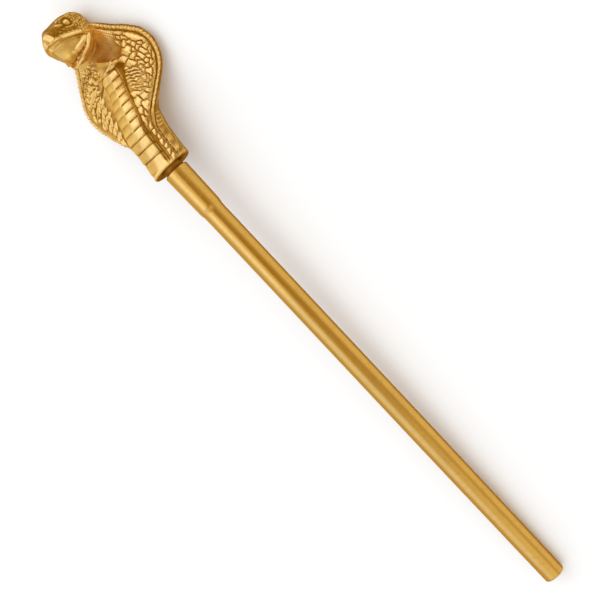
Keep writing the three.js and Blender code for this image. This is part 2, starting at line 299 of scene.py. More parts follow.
# Leaf and bean shaped scales on the wings: distance out from the belly's middle, height, half length,
# half width, and lean in degrees.
leftScales = [
    (58.5, 132.5, 14, 2.9, -54), (46.5, 149, 6, 2.2, -50), (43.5, 146, 3.2, 2.2, -60),
    (49, 140, 4.5, 2.1, -52), (45, 135.5, 3.9, 2.7, 5), (38.7, 142, 3.8, 1.6, -80),
    (52, 131.5, 3, 1.9, -40), (55.5, 126, 3.2, 1.9, -60), (43.5, 126.5, 6.6, 3.7, -42),
    (34, 123, 5.8, 3.2, -42), (38, 115.5, 6.3, 3.2, -40), (46.5, 117, 4.8, 3, -35),
    (51.5, 121.5, 3.2, 2, -20), (57.3, 119, 3.6, 2, -30), (62.8, 121, 3.2, 2, -45),
    (65, 113.5, 3.6, 2.2, -55), (59.8, 112, 5.6, 2.1, -72), (54.8, 109.5, 6.2, 2.3, -62),
    (49.6, 111, 4.8, 2.1, -50), (66.3, 106.5, 3, 1.8, 70), (61.5, 103, 3.4, 2, -55),
    (66, 100.5, 3.4, 1.7, 62), (57, 101.8, 3.8, 2, -45), (60.5, 96.5, 3.4, 1.9, 60),
    (27, 115, 5.6, 1.8, -30), (53.4, 91, 4.8, 3.1, -72), (48.3, 97, 2.8, 2.1, 20),
    (57.4, 89, 4.2, 1.8, 58), (48.4, 88, 1.9, 1.6, 0), (50.5, 84.3, 1.9, 1.6, 0), (54, 84, 2, 1.5, 40),
    (46.5, 84.5, 1.9, 1.5, 0), (28.5, 84, 8, 2.9, -36), (36.5, 89.3, 7, 2.2, -24),
    (41, 84.3, 6, 2.6, -52), (35.5, 83.6, 3.6, 1.7, -36), (25.5, 76, 5.6, 4.3, -30),
    (33.8, 76, 5, 3.5, -42), (41, 77, 3.4, 2.4, -30), (45.4, 79.4, 2.4, 2, 0),
    (51, 103.8, 4.4, 2.6, -50), (47.3, 101, 3.6, 2.2, -50), (53.5, 96.8, 3.6, 2.4, -60),
    (44, 91.5, 4.2, 2.4, -45), (25, 66, 4.4, 3.1, -62), (32.5, 67, 5.2, 3.3, -60),
    (24.4, 56, 5.2, 2.4, -78), (29.4, 59.3, 3.8, 2, -66),
]
rightScales = [
    (39.5, 130, 14, 3.2, -15), (37, 138.5, 5, 3.9, 5), (20.5, 137.5, 4.6, 3.9, 0),
    (28.6, 143, 4, 2.6, -10), (45.5, 137, 4.6, 3, -58), (51.5, 133.5, 3.6, 2.2, -55),
    (28.5, 134.5, 3.2, 2.4, -20), (56.5, 128, 4.4, 2.1, -60), (46, 122.5, 4.4, 1.7, -12),
    (36, 123.2, 4.2, 1.8, -14), (28.5, 126.5, 3.2, 1.9, -15), (56, 119.5, 4, 2, -40),
    (45.5, 114.6, 12, 2.6, -25), (33.5, 114, 5.4, 1.9, -28), (61.5, 114, 4.4, 1.9, -70),
    (56, 107.5, 4.4, 1.9, -40), (43.5, 104.5, 10, 2.2, -32), (34.5, 105.5, 3.6, 2, -30),
    (30, 97, 4, 2.1, -35), (39, 97, 4.4, 2, -35), (47, 95.5, 5, 2, -40), (55, 97.5, 4, 1.9, -60),
    (34, 88.5, 5, 2.3, -38), (43, 87.5, 4, 2.2, -45), (27, 80, 5, 2.6, -38), (36, 79, 4.4, 2.4, -42),
    (26, 69, 4.4, 2.6, -60), (33, 68.5, 4, 2.2, -60), (24.6, 57, 5, 2.3, -78),
    (29.4, 59.3, 3.6, 2, -66),
]
ribs = {"count": 7, "first": 109.8, "step": 4.3, "out": 32.5, "outStep": 0.4, "halfLength": 15,
        "shortening": 1.0, "halfWidth": 1.75, "lean": -33}
leftScales += [(ribs["out"] + ribs["outStep"] * i, ribs["first"] - ribs["step"] * i,
                ribs["halfLength"] - ribs["shortening"] * i, ribs["halfWidth"], ribs["lean"])
               for i in range(ribs["count"])]
cells = {"count": 7, "first": 5.5, "step": 6.6, "out": 26.6, "zigzag": 0.5, "halfLength": 3.4,
         "halfWidth": 2.8, "lean": 80}
leftScales += [(cells["out"] + cells["zigzag"] * (-1) ** i, cells["first"] + cells["step"] * i,
                cells["halfLength"], cells["halfWidth"], cells["lean"])
               for i in range(cells["count"])]  # down the neck


def scaleRelief(c, z, scales):  # domed scales, with furrows where two meet
    near = np.full(c.shape, 9.0)
    second = np.full(c.shape, 9.0)
    width = np.ones(c.shape)
    for out, up, halfLong, halfWide, lean in scales:
        turn = math.radians(lean)
        du, dv = c - out, z - up
        long = du * math.cos(turn) + dv * math.sin(turn)
        wide = dv * math.cos(turn) - du * math.sin(turn)
        q = np.sqrt((long / halfLong) ** 2 + (wide / halfWide) ** 2)
        closer = q < near
        second = np.where(closer, near, np.minimum(second, q))
        width = np.where(closer, halfWide, width)
        near = np.where(closer, q, near)
    edge = np.minimum((second - near) * width * 0.5, (1.55 - near) * width)
    return smooth(edge, -0.1, 1.0) * (1 - 0.3 * np.minimum(near, 1.3) ** 2)


def netting(u, v, pitch, tall):  # small diamond scales in crossing rows
    a = (u / pitch + v / (pitch * tall)) % 1
    b = (u / pitch - v / (pitch * tall)) % 1
    return smooth(np.minimum(1 - np.abs(2 * a - 1), 1 - np.abs(2 * b - 1)), 0, 0.55)


bodyCarving = {
    "furrowDepth": 1.7, "furrowHalf": 1.9, "hollowDepth": 0.9, "hollowHalf": 4.4, "hollowOut": 3.2,
    "beadLine": 8.7, "neckLine": 3.5, "beadLength": 5.6, "beadHeight": 1.9, "beadHalf": 1.5,
    "innerDepth": 1.1, "outerDepth": 0.7, "neckOuterDepth": 1.3, "lobeHeight": 2.2,
    "upperScale": 3.4, "upperHeight": 0.5, "throatScale": 8.6, "throatHeight": 0.7,
    "fineScale": 2.6, "coarseScale": 6.2, "fineHeight": 0.4, "coarseHeight": 0.75, "spineHeight": 0.5,
    "streakWidth": 2.8, "streakHeight": 0.7, "lipAt": 2.3, "lipHeight": 0.9,
}
bodyFades = {  # the heights between which each thing comes or goes, painted shade too
    "unrolled": (45, 70), "neck": (60, 42), "pillow": (36, 60), "fading": (30, 70), "hollow": (98, 121),
    "furrowEnd": (131, 126), "rimLine": (40, 62), "beads": (52, 66), "rimEnd": (182, 166),
    "lobesEnd": (158, 150), "upper": (148, 154), "throatScales": (131, 136), "throatScalesEnd": (162, 154),
    "coarse": (55, 85), "streaksEnd": (62, 50), "streakShadeEnd": (66, 54), "plainBack": (50, 66),
    "shadeAboveLip": (1.5, 5), "lipCarving": (0.2, 2.4), "plainRim": 55,
}
bodyShadeAndHighlightPaint = {  # how dark the painted shade is at each place, from 0 to 1, and how bright the collar lip's painted highlight is
    "scuteLine": 0.25, "fadedLine": 0.04, "pillowLine": 0.6, "scuteRest": 0.2, "furrow": 0.95,
    "hollow": 0.8, "inner": 0.55, "outer": 0.45, "neckOuter": 0.8, "rimEdge": 0.4, "lobes": 0.36,
    "throat": 0.38, "throatScales": 0.1, "betweenThroatScales": 0.3, "flank": 0.1, "betweenStreaks": 0.5,
    "lipHighlight": 1.8,
}


def bodyRelief(x, y, z):  # height, and the painted shade there, with painted highlights as negative shade
    cut, fades, paint = bodyCarving, bodyFades, bodyShadeAndHighlightPaint
    side = np.abs(y)
    width = halfWidth(z)
    front = x > rimX(z)
    lean = np.arcsin(np.clip(side / width, 0, 1))
    c = mix(width * lean, side, smooth(z, *fades["unrolled"]))  # out from the middle, along the surface
    slope = np.interp(z, heights, widthSlope)
    inward = np.maximum(width - side, 0)
    fromRim = np.hypot(inward / np.sqrt(1 + slope ** 2), x - rimX(z))
    run = np.interp(z - inward * slope / (1 + slope ** 2), heights, rimRun)
    ripple = 0.45 * np.sin(c * 0.83 + z * 0.31) + 0.35 * np.sin(z * 0.9 - c * 0.27 + 1.3)
    leftSide = smooth(y, -4, 4)
    neck = smooth(z, *fades["neck"])
    c = c - 1.1 * neck * leftSide * smooth(c, 8, 14)

    # belly scutes: a pillow on the left of each, and a flat rest whose lines fade towards the hood
    edge = bandEdge(z)
    sag = z + scutes["sag"] * (1 - (c / edge) ** 2) + scutes["tilt"] * c * np.sign(y)
    share = np.clip((sag - scutes["first"]) / (scutes["last"] - scutes["first"]), 0, 1)
    step = share ** scutes["packing"] * scutes["count"]
    within = step % 1
    inRow = (share > 0) & (share < 1)
    rowHeight = (scutes["last"] - scutes["first"]) / scutes["count"] / scutes["packing"]
    gap = np.minimum(within, 1 - within) * rowHeight
    ends = 1 - np.clip(c / edge, 0, 1) ** 14
    pillow = smooth(y, 3.5, 6.5) * smooth(z, *fades["pillow"])
    fading = smooth(z, *fades["fading"])
    lineDepth = mix(mix(scutes["lineDepth"], scutes["fadedLine"], fading), scutes["pillowLine"], pillow)
    scute = scutes["rise"] * (0.3 + 0.7 * ends) * (1 - 0.35 * within) + scutes["pillowRise"] * pillow
    scute -= lineDepth * hill(gap, 0, mix(0.8, 1.15, pillow)) * smooth(c, edge + 0.5, edge - 1.5)
    scute = np.where(inRow, scute, 0) * smooth(c, edge + 0.6, edge - 0.9)
    # painted shade in the lines between scutes, and over each scute's flat rest beside its pillow
    linePaintedShade = np.where(inRow, hill(gap, 0, 0.9), 0) * smooth(c, edge + 0.5, edge - 1)
    linePaintedShade *= mix(mix(paint["scuteLine"], paint["fadedLine"], fading), paint["pillowLine"], pillow)
    linePaintedShade += np.where(inRow, paint["scuteRest"], 0) * smooth(y, 6, 3) * smooth(c, edge + 0.5, edge - 1)

    # the furrow beside the scutes widens into a hollow under the throat
    hollow = smooth(z, *fades["hollow"]) * mix(0.25, 1, leftSide)
    furrowAt = edge + mix(1.7, 0.5, neck) + cut["hollowOut"] * hollow
    furrowHalf = cut["furrowHalf"] + cut["hollowHalf"] * hollow
    furrowEnd = smooth(z, *fades["furrowEnd"]) * mix(0.12, 1, leftSide)
    furrow = -(cut["furrowDepth"] + cut["hollowDepth"] * hollow) * hill(c, furrowAt, furrowHalf) * furrowEnd
    # painted shade in the furrow and in the hollow under the throat
    furrowPaintedShade = hill(c, furrowAt + 0.2, furrowHalf * mix(1.05, 1.5, neck)) * furrowEnd
    furrowPaintedShade = furrowPaintedShade * mix(paint["furrow"], paint["hollow"], hollow)

    # the rim's row of long beads, which runs down the neck as a plain ridge
    line = mix(cut["beadLine"], cut["neckLine"], smooth(z, *fades["rimLine"]))
    beadShare = run / cut["beadLength"] % 1
    beads = 0.15 + 0.85 * (1 - np.abs(2 * beadShare - 1) ** 3)
    beads = mix(0.35, beads, smooth(z, *fades["beads"]))
    fade = smooth(z, *fades["rimEnd"])
    inner = hill(fromRim, line + 3.2, 0.95) * (1 - neck)
    outer = hill(fromRim, line - 2.5, 0.8)
    outerDepth = mix(cut["outerDepth"], cut["neckOuterDepth"], neck)
    beadRow = cut["beadHeight"] * beads * hill(fromRim, line, cut["beadHalf"])
    rim = (beadRow - cut["innerDepth"] * inner - outerDepth * outer) * fade
    # painted shade in the grooves beside the rim's beads and at the rim's edge
    rimPaintedShade = (paint["inner"] * inner + mix(paint["outer"], paint["neckOuter"], neck) * outer) * fade
    rimPaintedShade += paint["rimEdge"] * smooth(fromRim, line - 2, line - 3) * (1 - neck)

    # carved scales on the wings
    u, v = c + ripple, z + 0.5 * np.sin(c * 0.61) + 0.35 * np.sin(c * 1.3 + z * 0.4)
    lobes = np.where(y > 0, scaleRelief(u, v, leftScales), scaleRelief(u, v, rightScales))
    lobesFrom = mix(line + 2.6, line - 2.0, neck)
    lobesMask = smooth(fromRim, lobesFrom, lobesFrom + 1.6)
    lobesMask = lobesMask * smooth(c, furrowAt + furrowHalf * 0.3, furrowAt + furrowHalf * 0.9)
    lobesMask = lobesMask * smooth(z, *fades["lobesEnd"]) * mix(1, leftSide, neck)
    # painted shade between the wing scales
    lobePaintedShade = paint["lobes"] * (1 - smooth(lobes, 0.1, 0.5)) * lobesMask
    upper = cut["upperHeight"] * netting(c, z, cut["upperScale"], 1.3) * smooth(z, *fades["upper"])
    upper = upper * smooth(c, 26, 34) * smooth(fromRim, line + 2, line + 4)
    belly = scute + furrow + rim + cut["lobeHeight"] * lobes * lobesMask + upper

    # the throat: painted shade under the jaw, and scaly on the right with painted shade between the scales
    throatScales = netting(y + 2.4 * ripple, z + 1.6 * np.sin(y * 0.4), cut["throatScale"], 0.8)
    scaly = smooth(z, *fades["throatScales"]) * smooth(z, *fades["throatScalesEnd"]) * smooth(y, -4, -12)
    scaly = scaly * smooth(fromRim, line + 2, line + 5)
    belly = belly + cut["throatHeight"] * throatScales * scaly
    throatPaintedShade = paint["throat"] * hill(z, 151, 15) * hill(y, 12, 27)
    throatPaintedShade += (paint["throatScales"] + paint["betweenThroatScales"] * (1 - throatScales)) * scaly

    # back: a soft spine and small scales, finer on the neck
    fine = cut["fineHeight"] * netting(c, z, cut["fineScale"], 1.5)
    coarse = cut["coarseHeight"] * netting(c, z, cut["coarseScale"], 1.4)
    spine = cut["spineHeight"] * hill(c, 0, 3)
    backRim = 0.7 * hill(fromRim, line, 1.6) - 0.5 * hill(fromRim, line + 3.2, 1.0)
    scales = mix(fine, coarse, smooth(z, *fades["coarse"])) * smooth(fromRim, line + 2, line + 5)
    streaks = 0.5 + 0.5 * np.cos(2 * np.pi * (width * lean / cut["streakWidth"] + 0.2 * np.sin(z * 0.45)))
    flank = cut["streakHeight"] * streaks * smooth(z, *fades["streaksEnd"])
    lip = cut["lipHeight"] * hill(z, cut["lipAt"], 1.1) * front
    back = mix(flank + spine, scales + spine + backRim * fade, smooth(z, *fades["plainBack"]))
    relief = np.where(front, belly + flank * smooth(fromRim, line - 1.4, line - 2.6), back)
    atRim = smooth(fromRim, 0.4, 2.6)
    keep = np.where(z > fades["plainRim"], atRim, 1)
    # painted shade over the neck's flank, darker between the streaks
    flankPaintedShade = paint["flank"] + paint["betweenStreaks"] * (1 - streaks)
    flankPaintedShade = flankPaintedShade * smooth(z, *fades["streakShadeEnd"])
    frontPaintedShade = linePaintedShade + furrowPaintedShade + rimPaintedShade + lobePaintedShade + throatPaintedShade
    paintedShadeAndHighlight = np.where(front, frontPaintedShade + flankPaintedShade * smooth(fromRim, line - 1, line - 2.4), flankPaintedShade)
    # painted shade fades out towards the collar, and a painted highlight runs along the lip
    paintedShadeAndHighlight = np.clip(paintedShadeAndHighlight, 0, 1) * smooth(z, *fades["shadeAboveLip"])
    paintedShadeAndHighlight = paintedShadeAndHighlight - paint["lipHighlight"] * hill(z, 3, 1.9) * front * smooth(y, 21, 15)
    return relief * keep * smooth(z, *fades["lipCarving"]) + lip, paintedShadeAndHighlight


# Strokes over the skull, from the middle line outwards: points, half width, height. They are on both
# sides, but one that crosses the middle line isn't mirrored.
headStrokes = {
    "upperLip": ([(18.6, 0, 187.4), (17, 5, 187.3), (14.1, 8.0, 187), (9.2, 12.4, 186.8),
                  (0.1, 17.6, 183.3), (-8.4, 21.9, 180.6), (-19.8, 24, 178.2), (-24, 24, 175)], 1.15, 1.5),
    "mouthLine": ([(18.4, 0, 184.6), (13.2, 8, 184.2), (8, 12.4, 183.4), (-0.6, 17.1, 180.2),
                   (-9, 21.2, 177.6), (-18.5, 23.6, 175.4), (-23.5, 23.6, 172.9)], 0.95, -1.0),
    "lowerLip": ([(16, 0, 181), (9, 9.5, 179.8), (2, 14.4, 179.4), (-6, 19.2, 177.2),
                  (-14, 22.2, 174.6)], 0.8, 0.6),
    "jawFold": ([(-3.6, 10.1, 166.4), (-8.5, 14.8, 167.4), (-14, 19.8, 169.2),
                 (-18.4, 22.2, 171.4)], 2.8, 2.7),
    "chin": ([(8, 0, 170), (4, 4, 167.5)], 5.0, 0.8),
    "jawFurrow": ([(-1.5, 0, 159.6), (-3.6, 4.6, 159.8), (-8.6, 10.6, 160.8), (-13.4, 17.6, 164.4),
                   (-21, 22.9, 172)], 1.6, -2.0),
    "loreal": ([(6, 13.4, 194), (2, 16, 194), (-3, 19.4, 193.4)], 3.8, -1.8),
    "snoutScaleA": ([(4.2, 15.4, 198.5), (1.5, 17, 190.5)], 0.9, 1.1),
    "snoutScaleB": ([(-0.5, 18, 197.5), (-3, 19.8, 190.5)], 0.9, 1.0),
    "streak": ([(-0.6, 15.4, 200.8), (-4.4, 20.5, 195.6)], 0.9, 0.9),
    "browEdge": ([(6, 13, 203.4), (-3.9, 17.1, 203.5), (-10, 20.6, 203.4), (-18.9, 22.2, 202.6)], 1.0, 1.1),
    "behindEyeA": ([(-17.2, 23.6, 199.4), (-18.4, 24, 193.6)], 0.8, 1.0),
    "behindEyeB": ([(-21.4, 24.3, 198.6), (-22.2, 24.6, 191.4)], 0.9, 0.8),
    "underEye": ([(-6.5, 21.6, 190.6), (-12, 23.4, 189.4), (-17, 24, 190)], 0.9, 0.9),
    "crownLine": ([(10, 0, 205), (-30, 0, 210.4)], 0.8, -0.5),
    "crownBow": ([(-6, 0, 208), (-9, 9, 208), (-12, 15, 206)], 0.7, -0.5),
    "crownBack": ([(-26, 0, 210), (-29, 11, 209), (-31, 18, 206)], 0.7, -0.5),
    "throatRidge": ([(-30.6, -1.1, 147.6), (-27.8, 8.6, 140), (-26.8, 16.8, 133.4), (-26.2, 25.6, 128.6),
                     (-26, 33, 126)], 2.4, 2.2),
    "throatLip": ([(-22.8, 4.8, 130), (-26.3, 16.4, 126), (-25.9, 28.4, 120.8)], 1.1, -1.2),
}
paintedShades = {  # painted shade over the skull and throat: points, half width, strength
    "loreal": ([(9.5, 11.8, 195.5), (3, 16, 194.5), (-4, 20, 193)], 5.4, 1.0),
    "cheek": ([(-4, 20.4, 189.5), (-12, 23, 187.5), (-20, 24.3, 187)], 3.8, 0.85),
    "overLip": ([(9.2, 12.4, 190.6), (1, 17, 188), (-8.4, 21.9, 185), (-17, 24, 183)], 2.5, 1.0),
    "aroundEye": ([(-6, 20, 199.5), (-14, 22.6, 200.4), (-20, 24, 196)], 3.0, 0.95),
    "temple": ([(-24, 24.4, 200), (-27, 24.4, 192), (-29, 24, 184)], 3.2, 0.55),
    "mouthLine": (headStrokes["mouthLine"][0][:6], 0.9, 0.45),
    "corner": ([(-9.8, 20.7, 174.6), (-17.7, 22.8, 173.9)], 1.6, 0.6),
    "jawFurrow": ([(-3.2, -7.3, 161.8), (-3.6, 4.6, 160.4), (-8.6, 10.6, 161.5), (-13.4, 17.6, 165),
                   (-21, 22.9, 172.6)], 1.3, 1.0),
    "crown": ([(9.5, 0.5, 202.6), (2.3, 8.6, 204.6), (-3, 14.4, 205)], 2.6, 0.6),
    "lowerJaw": ([(6.8, 12, 181), (-1.4, 16.7, 178.6), (-9.6, 21, 175.8), (-17.5, 22.9, 174.2)], 2.0, 0.6),
    "underJaw": ([(-16, -2, 156.8), (-20.3, 3.2, 157.1), (-23.8, 9, 158.6), (-31.7, 14.2, 164.5),
                  (-32.9, 20.4, 172.5)], 2.0, 0.5),
    "brow": ([(6, 9, 199.6), (1.6, 13.4, 200), (-3, 18, 199.4)], 3.6, 0.75),
    "browBack": ([(-3, 16.6, 204), (-9, 19.6, 204.6)], 2.4, 0.5),
    "throatLip": (headStrokes["throatLip"][0], 1.5, 0.7),
}
paintedHighlights = {  # painted highlights over the skull: points, half width, strength
    "ridge": ([(-4.5, 1, 155), (-6.5, 9, 155.3), (-13, 17.6, 159.2), (-18.5, 22.6, 165),
               (-23.4, 24.4, 170.4)], 3.0, 2.0),
    "fold": ([(-6.4, 10.8, 165.8), (-11.4, 15.6, 166.6), (-16.4, 20.4, 169.4)], 3.2, 1.4),
    "lip": ([(2.5, 16.3, 184.3), (-8.4, 21.9, 180.6), (-17, 23.9, 178.7)], 1.9, 2.0),
    "lipFront": ([(12, 9.6, 187), (7, 13.6, 185.9)], 1.3, 1.1),
    "streak": ([(-1.6, 14.4, 200.8), (-5.4, 19.6, 195.6)], 0.9, 0.9),
    "rightLip": ([(13, -8, 184), (9.5, -10.6, 180.4)], 2.4, 0.9),
}
headBumps = [  # place, radius, height
    ((-2, 1.2, 160.4), 1.5, 1.2), ((-5.8, 3.8, 160), 1.4, 1.2), ((-5.5, 6.3, 161.6), 1.3, 1.0),
    ((1.5, -2.4, 162.4), 1.3, 1.0), ((7.7, -0.6, 167.4), 1.5, 0.9), ((-21.9, 5.5, 157.4), 2.2, 0.9),
    ((-26.4, 22.8, 173.1), 1.4, 1.3), ((-29.4, 23.3, 176.5), 1.4, 1.2), ((-25.4, 24, 177), 1.3, 1.1),
    ((-30.6, 22.6, 172.6), 1.3, 1.2), ((12, 7.6, 193.4), 0.9, -0.7),
]


def strokeDistance(points, path):
    best = np.full(len(points), 1e9)
    path = np.array(path, float)
    for a, b in zip(path, path[1:]):
        d = b - a
        t = np.clip(((points - a) @ d) / (d @ d), 0, 1)
        best = np.minimum(best, ((points - a - t[:, None] * d) ** 2).sum(1))
    return np.sqrt(best)


def strokes(points, folded, table):
    total = np.zeros(len(points))
    for path, half, height in table.values():
        oneSided = min(p[1] for p in path) < 0
        total += height * hill(strokeDistance(points if oneSided else folded, path), 0, half)
    return total


# The eye, nose plate and cheeks, with painted shade round the eye and between cheek scales, painted
# highlights on the eye and nose plate, and the shift that puts the painted highlights on the side facing
# the camera.
faceShape = {
    "eye": (-11.5, 21.6, 196.4), "eyeRing": 5.3, "eyeRingDepth": 1.3, "eyePaintedShade": 0.7,
    "eyeTop": (-9.6, 23.6, 197.2), "eyeHighlight": 1.3,
    "nosePlate": [(11.4, 4.6, 197.6), (11.8, 8.2, 191)], "plateHalf": 3.6, "plateHighlight": 1.3,
    "cheekScale": 4.8, "cheekHeight": 0.75, "cheekPaintedShade": 0.3, "lipBeads": 0.7, "lipBeadLength": 4.4,
    "lipBeadRise": 2.9, "lipBeadsEnd": (12, 9), "napeScale": 4.6, "napeHeight": 0.5,
    "cheekFront": (-12, -20), "cheekUnder": (178, 182), "cheekTop": (208, 203),
    "napeFront": (-30, -38), "napeTop": (204, 198), "highlightOffset": (1.2, 1.0, 0),
}


def headRelief(points):  # height, and the painted shade there, with painted highlights as negative shade
    folded = points.copy()
    folded[:, 1] = np.abs(points[:, 1])
    x, y, z = folded.T
    relief = strokes(points, folded, headStrokes)
    for centre, radius, height in headBumps:
        relief += height * hill(np.linalg.norm(folded - centre, axis=1), 0, radius)
    eye = np.linalg.norm(folded - faceShape["eye"], axis=1)
    relief -= faceShape["eyeRingDepth"] * hill(eye, faceShape["eyeRing"], 1.3)
    eyeTop = np.linalg.norm(folded - faceShape["eyeTop"], axis=1)
    plate = strokeDistance(folded, faceShape["nosePlate"]) / faceShape["plateHalf"]
    leftSide = mix(0.3, 1, smooth(points[:, 1], -2, 2))
    relief += (smooth(plate, 1.15, 0.6) - 0.35 * hill(plate, 1.3, 0.14)) * leftSide
    aboveJaw = smooth(z, *faceShape["cheekUnder"])
    cheek = smooth(x, *faceShape["cheekFront"]) * aboveJaw * smooth(z, *faceShape["cheekTop"])
    cheekScales = netting(x + 0.3 * z + 1.2 * np.sin(z * 0.7), z + np.sin(x * 0.9),
                          faceShape["cheekScale"], 1.1)
    relief += faceShape["cheekHeight"] * cheekScales * cheek
    aboveLip = [(a, b, c + faceShape["lipBeadRise"]) for a, b, c in headStrokes["upperLip"][0][2:]]
    lipBeads = faceShape["lipBeads"] * hill(strokeDistance(folded, aboveLip), 0, 1.3)
    lipBeads *= 0.5 + 0.5 * np.cos(x * 2 * np.pi / faceShape["lipBeadLength"])
    relief += lipBeads * smooth(x, *faceShape["lipBeadsEnd"])
    nape = smooth(x, *faceShape["napeFront"]) * smooth(z, *faceShape["napeTop"])
    relief += faceShape["napeHeight"] * netting(y, z, faceShape["napeScale"], 1.3) * nape
    # painted shade from the strokes, kept off the nose plate and the eye's highlight, and lighter on the
    # cheek scales' tops
    paintedShadeAndHighlight = strokes(points, folded, paintedShades) * (1 - smooth(plate, 1.3, 1.1)) * smooth(eyeTop, 1.8, 3)
    paintedShadeAndHighlight *= mix(1, 0.5, cheekScales * smooth(x, 4, -4) * aboveJaw)
    # painted shade between the cheek scales and round the eye
    paintedShadeAndHighlight += (faceShape["cheekPaintedShade"] * (1 - smooth(cheekScales, 0.1, 0.6)) * cheek
             + faceShape["eyePaintedShade"] * hill(eye, 5.2, 1.4) * smooth(eyeTop, 1.8, 3))
    # painted highlights on the nose plate and the eye
    paintedShadeAndHighlight -= (faceShape["plateHighlight"] * smooth(plate, 1.05, 0.75) * leftSide
             + faceShape["eyeHighlight"] * smooth(eyeTop, 2.4, 1.4))
    # painted highlights along the strokes, moved to the side that faces the camera
    outer = np.array(faceShape["highlightOffset"])
    paintedShadeAndHighlight -= strokes(points - outer, folded - outer, paintedHighlights)
    return relief, np.clip(paintedShadeAndHighlight, carving["mostHighlight"], 1)


# paint weighs the painted shade and highlights in the relief attribute; the socket's painted shade and the
# strongest painted highlight are set here too
carving = {
    "voxel": 0.5, "triangles": 195000, "meanSteps": 14, "paint": 0.9, "mostHighlight": -2,
    "bodyEnd": (190, 186), "skullFrom": 156, "bodyShadeOffSkull": (162, 168), "socketShade": 0.62,
    "underside": (1.2, 0.2), "undersideRim": (23.6, 22.8), "boreTop": 36, "bowlTop": 2.6,
    "jawRidge": [(-4.5, 0, 156.4), (-6.5, 9, 156.8), (-13, 17.6, 161), (-18.5, 22.6, 166.8),
                 (-23.4, 24.4, 173)], "jawRidgeRadius": 2.1,
    "throatFold": [(-22.6, 0, 130), (-24.8, 9, 131), (-31, 19, 136)], "throatFoldRadius": 3.0,
    "eye": (-12, 20.4, 196.7), "eyeRadius": 4.1,
    "brow": (-14.5, 19.4, 203), "browSize": (12.5, 3.2, 3), "browTurn": -15, "browDip": 6,
}


def onSkull(points):  # 1 on the skull, and 0 away from it
    x, y, z = points.T
    rise = np.where(z > widestZ(x), crownZ(x) - widestZ(x), widestZ(x) - jawZ(x))
    power = np.where(z > widestZ(x), crownPower(x), jawPower(x))
    shape = (np.abs(y) / skullHalf(x)) ** power + np.abs((z - widestZ(x)) / rise) ** power
    inside = (x > skull["nape"] - 3) & (x < skull["snout"] + 4)
    return smooth(np.where(inside, shape, 9), 1.7, 1.25) * smooth(z, 157, 160)


def carve(points):
    x, y, z = points.T
    share = onSkull(points)
    body, bodyPaintedShadeAndHighlight = bodyRelief(x, y, np.clip(z, 0, hood["top"]))
    skullRelief, skullPaintedShadeAndHighlight = headRelief(points)
    onHead = np.where(z > carving["skullFrom"], share, 1)
    bodyEnd = smooth(z, *carving["bodyEnd"])
    height = body * bodyEnd * (1 - share) + skullRelief * onHead
    # the body's painted shade fades out over the skull, and the skull's painted shade and highlights join
    # it
    bodyPaintedShadeAndHighlight = bodyPaintedShadeAndHighlight * bodyEnd * (1 - share * smooth(z, *carving["bodyShadeOffSkull"]))
    paintedShadeAndHighlight = np.clip(bodyPaintedShadeAndHighlight + skullPaintedShadeAndHighlight * onHead, carving["mostHighlight"], 1)
    radius = np.hypot(x, y)
    # painted shade under the collar, in its socket and in the bore
    underside = smooth(z, *carving["underside"]) * smooth(radius, *carving["undersideRim"])
    inBore = (radius < hood["boreRadius"] + 1) & (z < carving["boreTop"])
    inSocket = inBore | (radius < hood["lipRadius"] + 0.3) & (z < carving["bowlTop"])
    socketPaintedShade = carving["socketShade"] * np.maximum(underside, inSocket)
    paintedShadeAndHighlight = np.where(inBore, 1, np.where(socketPaintedShade > 0, np.maximum(paintedShadeAndHighlight, socketPaintedShade), paintedShadeAndHighlight))
    return np.where(inSocket, 0, height), paintedShadeAndHighlight


